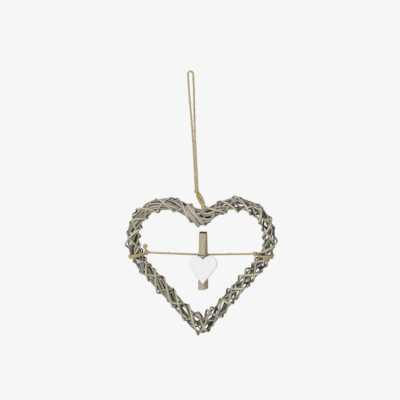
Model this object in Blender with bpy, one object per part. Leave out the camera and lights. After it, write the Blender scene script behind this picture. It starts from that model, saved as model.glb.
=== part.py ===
"""Heart-shaped wicker wreath on a twine loop, with a clothes peg and a small white heart on a cross twine.

The origin is the top of the hanging loop. The wreath hangs below it in the XZ plane, front towards -Y.
"""
import math

import bmesh
import bpy
from mathutils import Matrix, Vector

# Wreath centre line: two lobe arcs, two wider flank arcs and four straight runs.
# The cleft and the tip are placed from the height of the lobes' centres.
HEART_X = 0.0131
LOBE_Z = -0.2032
LOBE_HALF_SPACING = 0.0426
LOBE_RADIUS = 0.0410
FLANK_RADIUS = 0.0533
CLEFT_RISE = 0.0212
TIP_DROP = 0.1126
CORNER_SOFTENING = 0.0090

# Rods that run along the wreath: straight ones in its core and a slowly twisted ring of them outside.
# The stations are crowded together at the cleft and the tip.
CORE_RODS = 3
CORE_RING = 0.0022
CORE_ROD_RADIUS = 0.0014
OUTER_RODS = 11
OUTER_RING = 0.0054
OUTER_ROD_RADIUS = 0.0013
OUTER_TWISTS = 4
ROD_STATIONS = 30
STATION_CROWDING = 0.3

# One outer rod in three is short and lies on the left flank, the left lobe and the cleft
SHORT_EVERY = 3
SHORT_REACH_LEFT = 0.205
SHORT_REACH_RIGHT = 0.060
SHORT_STATIONS = 32

# Strips wound round the rods, one hand over the other; the turns are those of one strip round the heart
STEPS_PER_TURN = 12
MAIN_STRIPS = 2
MAIN_TURNS = 12
COUNTER_STRIPS = 2
COUNTER_TURNS = 11
WINDING_START = 0.0070
ROD_ROOM = 0.0073
STRIP_THICKNESS = 0.0006
STRIP_GAP = 0.0004
STRIP_WIDTH = 0.0028

# Twine; the knot of the hanging loop is placed from the cleft, each side tie along the wreath from it
TWINE_RADIUS = 0.0011
TWINE_STEP = 0.0066
GAP = 0.0003
LOOP_HALF_WIDTH = 0.0032
LOOP_CLOSES_AT_Z = -0.094
LOOP_LEAN = 0.0535
CREST_STEPS = 6
HANG_KNOT_RISE = 0.0338
HANG_KNOT_RADIUS = 0.0030
TIE_KNOT_RADIUS = 0.0030
CLEFT_TIE_S = 0.0045
LEFT_TIE_S = 0.1378
RIGHT_TIE_S = 0.1404
WRAP_STEPS = 12
TWINE_BESIDE_COIL = 0.0020

# Peg, in its own frame: the spring's axis is x, the jaws point up, the front half is at -y.
# Its spring lies below the height of the lobes' centres.
PEG_X = 0.0155
PEG_DROP = 0.0213
PEG_YAW = math.radians(-12.0)
PEG_WIDTH = 0.0084
JAW_LENGTH = 0.0280
HANDLE_LENGTH = 0.0425
JAW_END_DEPTH = 0.0046
COIL_DEPTH = 0.0076
HANDLE_THICKNESS = 0.0042
HANDLE_SPLAY = math.radians(8.6)
TIP_CHAMFER = 0.0024
LINE_NOTCH_Z = 0.0150
LINE_NOTCH_RADIUS = 0.0020
LINE_NOTCH_STEPS = 4
COIL_GROOVE_ROOM = 0.0004
COIL_GROOVE_STEPS = 8
ARM_NOTCH_Z = -0.0020
ARM_NOTCH_DEPTH = 0.0019
WIRE_RADIUS = 0.00065
COIL_RADIUS = 0.0029
COIL_TURNS = 4
COIL_STEPS = 10
ARM_BEND_WIDTH = 0.0008
ARM_BEND_DEPTH = 0.0006
ARM_REACH = 0.85

# White heart glued to the peg's front face, a little to the right of its middle
WHITE_SHIFT = 0.0020
WHITE_LOBE_RADIUS = 0.0093
WHITE_LOBE_SPACING = 0.0083
WHITE_TIP_DROP = 0.0253
WHITE_THICKNESS = 0.0035
WHITE_CENTRE_DROP = 0.0106
WHITE_LOBE_STEPS = 14


def clear_scene():
    for item in list(bpy.data.objects):
        bpy.data.objects.remove(item, do_unlink=True)


def material(name, colour, roughness, metallic=0.0):
    made = bpy.data.materials.new(name)
    made.use_nodes = True
    shader = made.node_tree.nodes["Principled BSDF"]
    shader.inputs["Base Color"].default_value = (*colour, 1.0)
    shader.inputs["Roughness"].default_value = roughness
    shader.inputs["Metallic"].default_value = metallic
    made.diffuse_color = (*colour, 1.0)
    return made


def solid(name, points, faces, finish, smooth=False):
    """Makes one closed object from points and faces, with its faces turned outwards."""
    mesh = bpy.data.meshes.new(name)
    mesh.from_pydata([tuple(point) for point in points], [], faces)
    shape = bmesh.new()
    shape.from_mesh(mesh)
    bmesh.ops.recalc_face_normals(shape, faces=shape.faces)
    for face in shape.faces:
        face.smooth = smooth
    shape.to_mesh(mesh)
    shape.free()
    mesh.materials.append(finish)
    made = bpy.data.objects.new(name, mesh)
    bpy.context.collection.objects.link(made)
    return made


def lofted(name, sections, closed, finish):
    """Joins equal sections into a tube; an open tube gets a face over each end."""
    count = len(sections[0])
    points = [point for section in sections for point in section]
    faces = []
    for i in range(len(sections) if closed else len(sections) - 1):
        near, far = i * count, (i + 1) % len(sections) * count
        for j in range(count):
            k = (j + 1) % count
            faces.append((near + j, near + k, far + k, far + j))
    if not closed:
        faces.append(tuple(range(count)))
        faces.append(tuple(range(len(points) - count, len(points))))
    return solid(name, points, faces, finish)


def direction(angle):
    return Vector((math.cos(angle), math.sin(angle)))


def tangent_angle(centre, radius, point, turn):
    """Angle on a circle where a line from an outside point touches it; turn is -1 before the point, 1 after."""
    away = point - centre
    return math.atan2(away.y, away.x) + turn * math.acos(radius / away.length)


CLEFT = Vector((0.0, LOBE_Z + CLEFT_RISE))
TIP = Vector((0.0, LOBE_Z - TIP_DROP))
LOBE = Vector((LOBE_HALF_SPACING, LOBE_Z))
FLANK = Vector((LOBE_HALF_SPACING + LOBE_RADIUS - FLANK_RADIUS, LOBE_Z))
LOBE_START = tangent_angle(LOBE, LOBE_RADIUS, CLEFT, -1)
FLANK_END = tangent_angle(FLANK, FLANK_RADIUS, TIP, 1)


def middle_crossing(centre, radius, angle):
    """Where the tangent line at an angle of a circle crosses the heart's middle line."""
    return Vector((0.0, centre.y + (radius + centre.x * math.cos(angle)) / math.sin(angle)))


RUN_LENGTHS = (
    (LOBE + LOBE_RADIUS * direction(LOBE_START) - CLEFT).length,
    LOBE_RADIUS * LOBE_START,
    -FLANK_RADIUS * FLANK_END,
    (FLANK + FLANK_RADIUS * direction(FLANK_END) - TIP).length,
)
HALF_LENGTH = sum(RUN_LENGTHS)


def outline_point(s, offset):
    """Point of the heart at s along the centre line from the cleft, moved outwards by offset."""
    s = (s + HALF_LENGTH) % (2 * HALF_LENGTH) - HALF_LENGTH
    side = -1.0 if s < 0 else 1.0
    s = abs(s)
    lobe_radius, flank_radius = LOBE_RADIUS + offset, FLANK_RADIUS + offset
    line, lobe, flank, last = RUN_LENGTHS
    if s <= line:
        start = middle_crossing(LOBE, lobe_radius, LOBE_START)
        point = start.lerp(LOBE + lobe_radius * direction(LOBE_START), s / line)
    elif s <= line + lobe:
        point = LOBE + lobe_radius * direction(LOBE_START * (1 - (s - line) / lobe))
    elif s <= line + lobe + flank:
        point = FLANK + flank_radius * direction(FLANK_END * (s - line - lobe) / flank)
    else:
        end = middle_crossing(FLANK, flank_radius, FLANK_END)
        start = FLANK + flank_radius * direction(FLANK_END)
        point = start.lerp(end, (s - line - lobe - flank) / last)
    return Vector((side * point.x, point.y))


def at(s, offset, depth):
    """World point at s along the wreath, offset outwards in its plane and depth along Y."""
    shifts = [CORNER_SOFTENING * k / 2 for k in range(-2, 3)]
    flat = sum((outline_point(s + shift, offset) for shift in shifts), Vector((0.0, 0.0))) / len(shifts)
    return Vector((HEART_X + flat.x, depth, flat.y))


def around(s, radius, angle):
    """World point on a circle round the wreath's centre line; angle 0 is outwards, -90 degrees is front."""
    return at(s, radius * math.cos(angle), radius * math.sin(angle))


def rod_stations():
    """Places along the whole heart, closer together at the cleft and the tip."""
    places = []
    for k in range(2 * ROD_STATIONS):
        t = k / ROD_STATIONS
        places.append(HALF_LENGTH * (t - STATION_CROWDING * math.sin(2 * math.pi * t) / (2 * math.pi)))
    return places


def short_stations():
    reach = SHORT_REACH_LEFT + SHORT_REACH_RIGHT
    return [-SHORT_REACH_LEFT + reach * k / SHORT_STATIONS for k in range(SHORT_STATIONS + 1)]


def rod(name, ring, radius, start, twists, finish, short=False):
    """Square rod along the wreath; start is its angle round the centre line at the cleft."""
    sections = []
    for s in short_stations() if short else rod_stations():
        angle = start - math.pi * twists * s / HALF_LENGTH
        middle = ring * direction(angle)
        corners = [middle + radius * direction(angle + math.pi / 2 * j) for j in range(4)]
        sections.append([at(s, corner.x, corner.y) for corner in corners])
    return lofted(name, sections, not short, finish)


def layer_radii(layer):
    """Inner and outer radius of a layer of strips: 0 is the under one, 1 the outer one."""
    inner = ROD_ROOM + layer * (STRIP_THICKNESS + STRIP_GAP)
    return inner, inner + STRIP_THICKNESS


def wound_strip(name, layer, turns, hand, share, finish):
    """Flat strip wound round the whole wreath; share is its start within one turn."""
    pitch = 2 * HALF_LENGTH / turns
    inner, outer = layer_radii(layer)
    half = STRIP_WIDTH / 2
    sections = []
    for k in range(turns * STEPS_PER_TURN):
        s = WINDING_START + (share + k / STEPS_PER_TURN) * pitch
        angle = -hand * 2 * math.pi * k / STEPS_PER_TURN
        sections.append([around(s - half, inner, angle), around(s + half, inner, angle),
                         around(s + half, outer, angle), around(s - half, outer, angle)])
    return lofted(name, sections, True, finish)


def twine(name, points, finish, radius=TWINE_RADIUS, resolution=2):
    """Round cord or wire through the given points, with closed ends."""
    curve = bpy.data.curves.new(name, "CURVE")
    curve.dimensions = "3D"
    curve.bevel_depth = radius
    curve.bevel_resolution = resolution
    curve.use_fill_caps = True
    run = curve.splines.new("POLY")
    run.points.add(len(points) - 1)
    for slot, point in zip(run.points, points):
        slot.co = (*point, 1.0)
    curve.materials.append(finish)
    made = bpy.data.objects.new(name, curve)
    bpy.context.collection.objects.link(made)
    return made


def knot(name, centre, radius, finish):
    shape = bmesh.new()
    bmesh.ops.create_icosphere(shape, subdivisions=2, radius=radius)
    points = [centre + vertex.co for vertex in shape.verts]
    faces = [tuple(vertex.index for vertex in face.verts) for face in shape.faces]
    shape.free()
    return solid(name, points, faces, finish, smooth=True)


def loop_x(z, side):
    """Sideways place of one strand of the hanging loop; the strands lie together below a height."""
    crest = -TWINE_RADIUS - LOOP_HALF_WIDTH
    together = TWINE_RADIUS + GAP / 2
    share = min(1.0, (crest - z) / (crest - LOOP_CLOSES_AT_Z))
    half = together + (LOOP_HALF_WIDTH - together) * 0.5 * (1 + math.cos(math.pi * share))
    return LOOP_LEAN * (crest - z) + side * half


HANG_KNOT_Z = CLEFT.y + HANG_KNOT_RISE


def hanging_loop(finish):
    crest = -TWINE_RADIUS - LOOP_HALF_WIDTH
    bottom = HANG_KNOT_Z + HANG_KNOT_RADIUS + GAP
    steps = math.ceil((crest - bottom) / TWINE_STEP)
    heights = [bottom + (crest - bottom) * k / steps for k in range(steps)]
    left = [Vector((loop_x(z, -1), 0.0, z)) for z in heights]
    right = [Vector((loop_x(z, 1), 0.0, z)) for z in reversed(heights)]
    top = [Vector((-LOOP_HALF_WIDTH * math.cos(math.pi * k / CREST_STEPS), 0.0,
                   crest + LOOP_HALF_WIDTH * math.sin(math.pi * k / CREST_STEPS)))
           for k in range(CREST_STEPS + 1)]
    return twine("hanging_twine", left + top + right, finish)


def wrap_radius():
    """Clear of the outermost strips even at the middle of a straight step."""
    return (layer_radii(1)[1] + GAP + TWINE_RADIUS) / math.cos(math.pi / WRAP_STEPS)


def side_tie(name, s, finish):
    """Twine round one flank and its knot on the inner side of the wreath; gives the knot's centre."""
    radius = wrap_radius()
    centre = around(s, layer_radii(1)[1] + GAP + TIE_KNOT_RADIUS, math.pi)
    opening = (TIE_KNOT_RADIUS + GAP) / radius
    angles = [math.pi - opening - (2 * math.pi - 2 * opening) * k / WRAP_STEPS
              for k in range(WRAP_STEPS + 1)]
    twine(f"{name}_wrap", [around(s, radius, angle) for angle in angles], finish)
    knot(f"{name}_knot", centre, TIE_KNOT_RADIUS, finish)
    return centre


def cleft_tie(finish):
    """Twine from the hanging knot down round the frame beside the cleft and back up."""
    radius = wrap_radius()
    frame = at(CLEFT_TIE_S, 0.0, 0.0)
    middle = Vector((loop_x(HANG_KNOT_Z, 0), 0.0, HANG_KNOT_Z))
    up = (middle - frame).normalized()
    top = (middle - frame).length - HANG_KNOT_RADIUS - GAP
    spread = TWINE_RADIUS + GAP / 2
    touch = math.acos((radius - spread) / top)
    steps = round((2 * math.pi - 2 * touch) * radius / TWINE_STEP)
    arc = [touch + (2 * math.pi - 2 * touch) * k / steps for k in range(steps + 1)]
    ring = [frame + up * (radius * math.cos(angle)) + Vector((0.0, -radius * math.sin(angle), 0.0))
            for angle in arc]
    start = frame + up * top + Vector((0.0, -spread, 0.0))
    end = frame + up * top + Vector((0.0, spread, 0.0))
    steps = round((ring[0] - start).length / TWINE_STEP)
    down = [start.lerp(ring[0], k / steps) for k in range(steps)]
    back = [ring[-1].lerp(end, (k + 1) / steps) for k in range(steps)]
    twine("cleft_wrap", down + ring + back, finish)
    knot("hanging_knot", middle, HANG_KNOT_RADIUS, finish)


PEG_PLACE = Matrix.Translation((PEG_X, 0.0, LOBE_Z - PEG_DROP)) @ Matrix.Rotation(PEG_YAW, 4, "Z")


def in_peg(points):
    return [PEG_PLACE @ Vector(point) for point in points]


def cross_twine(left_knot, right_knot, finish):
    """Taut twine from knot to knot that passes straight through the spring's coil."""
    coil_end = PEG_WIDTH / 2 + TWINE_BESIDE_COIL
    left_in, right_in = in_peg([(-coil_end, 0.0, 0.0), (coil_end, 0.0, 0.0)])
    clear = TIE_KNOT_RADIUS + GAP
    start = left_knot + (left_in - left_knot).normalized() * clear
    end = right_knot + (right_in - right_knot).normalized() * clear
    left_steps = round((left_in - start).length / TWINE_STEP)
    right_steps = round((end - right_in).length / TWINE_STEP)
    left = [start.lerp(left_in, k / left_steps) for k in range(left_steps)]
    middle = [left_in.lerp(right_in, k / 2) for k in range(2)]
    right = [right_in.lerp(end, k / right_steps) for k in range(right_steps + 1)]
    twine("cross_twine", left + middle + right, finish)


def outer_depth(z):
    """Depth of a peg half's outer face at a height, measured from the plane between the halves."""
    if z >= 0:
        return COIL_DEPTH + (JAW_END_DEPTH - COIL_DEPTH) * z / JAW_LENGTH
    end = HANDLE_LENGTH * math.tan(HANDLE_SPLAY) + HANDLE_THICKNESS
    return COIL_DEPTH + (end - COIL_DEPTH) * -z / HANDLE_LENGTH


def peg_half(name, side, finish):
    """One wooden half as its side outline, carried across the width; side is -1 front, 1 back."""
    half_gap = GAP / 2
    groove = COIL_RADIUS + WIRE_RADIUS + COIL_GROOVE_ROOM
    outline = []
    notch_half = math.acos(half_gap / LINE_NOTCH_RADIUS)
    for k in range(LINE_NOTCH_STEPS + 1):
        angle = notch_half - 2 * notch_half * k / LINE_NOTCH_STEPS
        outline.append((LINE_NOTCH_RADIUS * math.cos(angle), LINE_NOTCH_Z + LINE_NOTCH_RADIUS * math.sin(angle)))
    upper = math.acos(half_gap / groove)
    lower = -math.pi / 2 + HANDLE_SPLAY
    for k in range(COIL_GROOVE_STEPS + 1):
        angle = upper + (lower - upper) * k / COIL_GROOVE_STEPS
        outline.append((groove * math.cos(angle), groove * math.sin(angle)))
    outline[-1] = (outline[-1][0] + half_gap, outline[-1][1])
    outline.append((half_gap + HANDLE_LENGTH * math.tan(HANDLE_SPLAY), -HANDLE_LENGTH))
    outline.append((outer_depth(-HANDLE_LENGTH), -HANDLE_LENGTH))
    low, high = ARM_NOTCH_Z - 2 * WIRE_RADIUS, ARM_NOTCH_Z + 2 * WIRE_RADIUS
    outline.append((outer_depth(low), low))
    outline.append((outer_depth(low) - ARM_NOTCH_DEPTH, low + WIRE_RADIUS / 2))
    outline.append((outer_depth(high) - ARM_NOTCH_DEPTH, high - WIRE_RADIUS / 2))
    outline.append((outer_depth(high), high))
    outline.append((outer_depth(0.0), 0.0))
    outline.append((outer_depth(JAW_LENGTH - TIP_CHAMFER), JAW_LENGTH - TIP_CHAMFER))
    outline.append((outer_depth(JAW_LENGTH) - TIP_CHAMFER, JAW_LENGTH))
    outline.append((half_gap, JAW_LENGTH))
    ends = []
    for x in (-PEG_WIDTH / 2, PEG_WIDTH / 2):
        ends.append(in_peg([(x, side * depth, z) for depth, z in outline]))
    return lofted(name, ends, False, finish)


def arm(side):
    """Spring arm from the coil's end, outwards beside one half and across its outer notch."""
    beside = PEG_WIDTH / 2 + WIRE_RADIUS + GAP
    rest = outer_depth(ARM_NOTCH_Z) - ARM_NOTCH_DEPTH + WIRE_RADIUS + GAP
    x = side * beside
    return [(x, side * COIL_RADIUS, 0.0),
            (x, side * (COIL_RADIUS + rest) / 2, ARM_NOTCH_Z / 2),
            (x, side * (rest - ARM_BEND_DEPTH), ARM_NOTCH_Z),
            (x - side * ARM_BEND_WIDTH, side * rest, ARM_NOTCH_Z),
            (side * PEG_WIDTH * (0.5 - ARM_REACH), side * rest, ARM_NOTCH_Z)]


def peg_spring(finish):
    """Coil across the peg with one arm to each half; the left arm holds the front half."""
    beside = PEG_WIDTH / 2 + WIRE_RADIUS + GAP
    count = round((COIL_TURNS + 0.5) * COIL_STEPS)
    coil = []
    for k in range(1, count):
        t = k / count
        angle = -math.pi / 2 - 2 * math.pi * (COIL_TURNS + 0.5) * t
        coil.append((-beside + 2 * beside * t, COIL_RADIUS * math.sin(angle), COIL_RADIUS * math.cos(angle)))
    wire = list(reversed(arm(-1))) + coil + arm(1)
    return twine("peg_spring", in_peg(wire), finish, WIRE_RADIUS, 1)


def white_heart(finish):
    """Flat heart on the front half's sloping face."""
    centre = Vector((WHITE_LOBE_SPACING, 0.0))
    tip = Vector((0.0, -WHITE_TIP_DROP))
    top = math.acos(-WHITE_LOBE_SPACING / WHITE_LOBE_RADIUS)
    bottom = tangent_angle(centre, WHITE_LOBE_RADIUS, tip, 1)
    right = [centre + WHITE_LOBE_RADIUS * direction(top + (bottom - top) * k / WHITE_LOBE_STEPS)
             for k in range(WHITE_LOBE_STEPS + 1)]
    left = [Vector((-point.x, point.y)) for point in reversed(right[1:])]
    outline = right + [tip] + left
    slope = math.atan2(outer_depth(0.0) - outer_depth(-HANDLE_LENGTH), HANDLE_LENGTH)
    place = (PEG_PLACE @ Matrix.Translation((0.0, -outer_depth(0.0), 0.0))
             @ Matrix.Rotation(slope, 4, "X")
             @ Matrix.Translation((WHITE_SHIFT, -GAP, -WHITE_CENTRE_DROP)))
    faces = [[place @ Vector((point.x, y, point.y)) for point in outline] for y in (0.0, -WHITE_THICKNESS)]
    return lofted("white_heart", faces, False, finish)


def build():
    clear_scene()
    willow = material("rod_willow", (0.28, 0.25, 0.20), 0.75)
    bark = material("bark_rod", (0.27, 0.24, 0.20), 0.80)
    straw = material("pale_strip", (0.50, 0.45, 0.35), 0.65)
    jute = material("jute_twine", (0.41, 0.36, 0.23), 0.90)
    beech = material("peg_wood", (0.44, 0.36, 0.25), 0.60)
    steel = material("spring_steel", (0.55, 0.55, 0.56), 0.35, 1.0)
    white = material("white_paint", (0.86, 0.86, 0.85), 0.45)

    for number in range(1, CORE_RODS + 1):
        start = 2 * math.pi * number / CORE_RODS
        rod(f"core_rod_{number}", CORE_RING, CORE_ROD_RADIUS, start, 0, willow)
    for number in range(1, OUTER_RODS + 1):
        start = 2 * math.pi * number / OUTER_RODS
        short = number % SHORT_EVERY == 2
        rod(f"outer_rod_{number}", OUTER_RING, OUTER_ROD_RADIUS, start, OUTER_TWISTS, bark, short)
    for number in range(1, COUNTER_STRIPS + 1):
        share = (number - 1) / COUNTER_STRIPS
        wound_strip(f"counter_strip_{number}", 0, COUNTER_TURNS, -1, share, straw)
    for number in range(1, MAIN_STRIPS + 1):
        share = (number - 1) / MAIN_STRIPS
        wound_strip(f"pale_strip_{number}", 1, MAIN_TURNS, 1, share, straw)

    hanging_loop(jute)
    cleft_tie(jute)
    left_knot = side_tie("left", -LEFT_TIE_S, jute)
    right_knot = side_tie("right", RIGHT_TIE_S, jute)
    cross_twine(left_knot, right_knot, jute)

    peg_half("peg_front", -1, beech)
    peg_half("peg_back", 1, beech)
    peg_spring(steel)
    white_heart(white)


build()
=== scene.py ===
"""Looks of the wicker heart: rods, split strips, jute twine and knots, peg, spring and white heart.

Lengths are in metres. Places along the wreath are measured from the cleft, negative on the viewer's left.
"""
import math
import random

import bmesh
import bpy
from mathutils import Matrix, Vector


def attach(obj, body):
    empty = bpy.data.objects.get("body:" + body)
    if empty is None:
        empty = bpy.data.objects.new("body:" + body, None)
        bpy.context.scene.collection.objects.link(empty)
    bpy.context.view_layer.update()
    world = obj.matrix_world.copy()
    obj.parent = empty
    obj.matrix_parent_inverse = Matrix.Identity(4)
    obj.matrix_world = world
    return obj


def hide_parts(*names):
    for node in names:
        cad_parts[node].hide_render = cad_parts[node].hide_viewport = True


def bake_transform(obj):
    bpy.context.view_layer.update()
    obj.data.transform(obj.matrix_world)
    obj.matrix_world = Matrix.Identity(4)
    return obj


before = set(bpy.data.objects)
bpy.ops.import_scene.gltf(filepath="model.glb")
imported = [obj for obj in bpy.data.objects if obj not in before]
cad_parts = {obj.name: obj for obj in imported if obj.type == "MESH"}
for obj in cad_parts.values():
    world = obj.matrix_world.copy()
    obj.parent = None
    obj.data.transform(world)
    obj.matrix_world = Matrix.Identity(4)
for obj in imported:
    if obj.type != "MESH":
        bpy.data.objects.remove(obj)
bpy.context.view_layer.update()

# Wreath centre line, as in the part
HEART_X = 0.0131
LOBE_Z = -0.2032
LOBE_HALF_SPACING = 0.0426
LOBE_RADIUS = 0.0410
FLANK_RADIUS = 0.0533
CLEFT_RISE = 0.0212
TIP_DROP = 0.1126
CORNER_SOFTENING = 0.0090

# Photograph's scale and the camera that gives its frame
FRAME_PIXELS = 400
METRES_PER_PIXEL = 0.00122
HANG_PIXEL = (190.5, 70.5)
LENS_MM = 85.0
SENSOR_MM = 36.0
CLIP_END = 20.0

# Each light's name, its place from the middle of the picture, its size and its power; they aim a little
# below that middle
LIGHTS = (("key", (-0.75, -1.0, 0.7), 0.6, 12.0), ("fill", (0.9, -1.1, 0.1), 0.9, 3.0))
AIM_DROP = 0.05
SURROUND_SEEN = (0.922, 0.922, 0.922)
SURROUND_LIGHT = 0.34
FLOOR_Z = -1.1
FLOOR_HALF_SIZE = 3.0
FLOOR_TONES = ((0.86, 0.86, 0.86), (0.90, 0.90, 0.90))
FLOOR_GRAIN = 3.0
FLOOR_ROUGHNESS = 0.9
FLOOR_GLOW = 0.42

# Rods along the wreath, as in the part; from the second on, one outer rod in three is short and lies mostly
# on the left
CORE_RODS = 3
OUTER_RODS = 11
OUTER_RING = 0.0054
OUTER_TWISTS = 4
SHORT_EVERY = 3
SHORT_FIRST = 2
SHORT_REACH_LEFT = 0.205
SHORT_REACH_RIGHT = 0.060
# How far a value strays and over what length it does so: (size, wavelength) for a Waver
CORE_TURN_WANDER = (0.3, 0.2)
CORE_SWAY = (0.0004, 0.11)
CORE_RADIUS_WANDER = (0.12, 0.08)
CORE_SHIFT_WANDER = (0.0026, 0.12)
STICK_TURN_WANDER = (0.16, 0.09)
STICK_RISE_WANDER = (0.0006, 0.05)
WIDTH_WANDER = (0.14, 0.05)
ROLL_WANDER = (0.16, 0.07)
STRIP_STRAY = (0.0005, 0.03)
# Each core rod is two thin round ones, each outer rod a flattened stick
CORE_RINGS = (0.0020, 0.0034)
CORE_ROD_RADIUS = 0.0010
CORE_ROD_SIDES = 8
STICK_WIDTH = 0.0028
STICK_WIDTH_SHARE = (0.82, 1.12)
STICK_THICKNESS = 0.0018
STICK_LIFT = 0.0004
# Stretches where the ring is full of sticks, each from one place to another with how full it is; elsewhere
# it is loose: the sticks are thinner and lie more at its edges, the core is thinner and wanders to a side
FULL_STRETCHES = ((-0.105, 0.030, 1.0), (-0.205, -0.130, 0.6))
FULL_FADE = 0.005
LOOSE_STICK_SHARE = 0.66
LOOSE_CORE_SHARE = 0.35
LOOSE_WARP = 0.40
STICK_END_OVERLAP = 0.007
# Length of one step along rods and strips
STEP = 0.0016

# Two broad sticks from the left lobe cross the cleft in front, straight from one pixel to another
CLEFT_STICKS = (((182.5, 206.5), (199.3, 226.3)), ((187.0, 205.0), (203.8, 224.2)))
CLEFT_STICK_WIDTH = 0.0054
CLEFT_STICK_THICKNESS = 0.0012
CLEFT_STICK_DEPTH = 0.0048
CLEFT_STICK_BOW = 0.0024
CLEFT_STICK_STEPS = 16
# They are part of this stick's piece
CLEFT_STICKS_WITH = 2

# Winding, as in the part; the turns are those of one strip round the whole heart
MAIN_STRIPS = 2
MAIN_TURNS = 12
COUNTER_STRIPS = 2
COUNTER_TURNS = 11
WINDING_START = 0.0070
COUNTER_START_SHARE = 0.5
# How far a hand-wound strip strays from even turns and how uneven its kinks at the edges are
TURN_WANDER = 0.0040
KINK_SHARE = (0.90, 1.18)
# Split strips; the under ones lie closer to the rods than the outer ones
STRIP_WIDTH = 0.0025
STRIP_THICKNESS = 0.0013
UNDER_LIFT = 0.0
OUTER_LIFT = 0.0007
STRIP_DEPTH = 0.0069
# How much a strip bows across the front, and how flat it lies on it
LEG_BOW = 0.15
LEG_FLATNESS = 0.7
EDGE_REACH = 0.0075
# How much thicker the wreath is at the cleft, more so outwards, and at the inner side of the tip
CLEFT_SWELL = 0.0024
CLEFT_SWELL_OUTWARDS = 0.0020
STICK_SWELL_SHARE = 0.55
CLEFT_SWELL_S = -0.003
SWELL_WIDTH = 0.016
TIP_SWELL = 0.0024

# Twine, as in the part
TWINE_RADIUS = 0.0011
GAP = 0.0003
LOOP_HALF_WIDTH = 0.0032
LOOP_STEPS = 44
CREST_STEPS = 6
LOOP_CLOSES_AT_Z = -0.094
LOOP_LEAN = 0.0535
HANG_KNOT_RISE = 0.0338
TIE_KNOT_RADIUS = 0.0030
CLEFT_TIE_S = 0.0045
LEFT_TIE_S = -0.1378
RIGHT_TIE_S = 0.1404
STRIPS_OUTER_RADIUS = 0.0089
TWINE_BESIDE_COIL = 0.0020
CROSS_STEPS = 9
# Plies of the twine, as shares of its radius, and its loose fibres
TWINE_STEP = 0.0007
LAY_LENGTH = 0.0068
PLIES = 3
PLY_SIDES = 6
PLY_RING_SHARE = 0.50
PLY_RADIUS_SHARE = 0.6
PLY_REACH_SHARE = 1.1
PLY_TAPER_STEPS = 3
PLY_WANDER = (0.07, 0.02)
HAIRS_PER_METRE = 900
HAIR_LENGTH = (0.0006, 0.0016)
HAIR_RADIUS = 0.00007
HAIR_SIDES = 3
HAIR_ROOT_SHARE = 0.8
HAIR_RISE = 0.75
HAIR_RUN = 1.2
HAIR_SWEEP = 0.5
HAIR_STEPS = (0.0, 0.4, 0.8, 1.2)
HAIR_STEPS_FROM_ENDS = 2
# Drawn-tight knots: their size and how they are turned
KNOT_STEPS = 32
KNOT_DEPTH_SHARE = 1.3
HANG_KNOT_SIZE = 0.0022
HANG_KNOT_TURN = Matrix.Rotation(0.4, 3, "Y")
TIE_KNOT_SIZE = 0.0023
TIE_KNOT_TURN = Matrix.Rotation(1.2, 3, "X")
# The ties press the strips a little; each turn leans towards the cleft by so much at the outer edge
TIE_RADIUS = 0.0093
TIE_TURN_STEPS = 20
TIE_SPREAD = 0.0022
LEFT_TIE_LEANS = (0.0036, 0.0046)
RIGHT_TIE_LEANS = (0.0050, 0.0088)
# Where the eye under the hanging knot ends, and how tightly its twine lies round the core
EYE_END_PIXEL = (203.3, 204.6)
EYE_HALF_WIDTH = 0.0009
EYE_BULGE = 0.0008
EYE_STEPS = 10
EYE_FORWARD = 0.0007
EYE_TWINE_RADIUS = 0.0017
HANG_KNOT_TWINE_RADIUS = 0.0014
EYE_CORE_RADIUS = 0.0040
EYE_TURN_START = math.radians(35.0)
EYE_TURN_SWEEP = math.radians(290.0)
EYE_TURN_STEPS = 8
# The end that stands up from the left knot is frayed and thicker than the twine
TAIL_RADIUS = 0.0015
TAIL_FORWARD = 0.0012
TAIL_POINTS = ((-0.0006, 0.0010), (-0.0012, 0.0040), (-0.0030, 0.0068), (-0.0030, 0.0086), (-0.0014, 0.0092),
               (-0.0004, 0.0080), (-0.0010, 0.0064))
# Starting numbers of the chance in each piece of twine
LOOP_SEED = 21
HANG_KNOT_SEED = 22
EYE_SEED = 23
LEFT_TIE_SEED = 31
RIGHT_TIE_SEED = 41
CROSS_SEED = 51
TAIL_SEED_STEP = 5

# Peg, as in the part
PEG_X = 0.0155
PEG_DROP = 0.0213
PEG_YAW = math.radians(-12.0)
PEG_WIDTH = 0.0084
WIRE_RADIUS = 0.00065
COIL_RADIUS = 0.0029
COIL_TURNS = 4
JAW_LENGTH = 0.0280
# The jaws' ends carry painted shade: they are painted dark where the gap between the two halves lies in
# shadow
JAW_END_SHADE_LENGTH = 0.0022
JAW_END_SHADE_FADE = 0.0004
JAW_END_SHADE = (0.045, 0.036, 0.028)
ARM_NOTCH_Z = -0.0020
ARM_REST = 0.00680
ARM_BEND_WIDTH = 0.0008
ARM_BEND_DEPTH = 0.0006
COIL_STEPS = 90
SPRING_STEP = 0.0006
SPRING_SIDES = 10
# Where the spring's arms lie across the peg, as shares of its width from the middle
ARM_BEND_SHARE = 0.2
ARM_END_SHARE = 0.42
# Softened edges; faces larger than this share of the largest one are shaded flat
PEG_BEVEL = 0.0004
WHITE_BEVEL = 0.0006
BEVEL_SEGMENTS = 3
SAME_PLACE = 1e-6
SAME_PLANE = math.radians(1.0)
SHARP_ANGLE = 0.5
FLAT_SHARE = 0.2


# Camera, light and stage

def pixel(column, row):
    """World X and Z of a pixel of the photograph, in the plane of the wreath."""
    return (column - HANG_PIXEL[0]) * METRES_PER_PIXEL, -(row - HANG_PIXEL[1]) * METRES_PER_PIXEL


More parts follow.
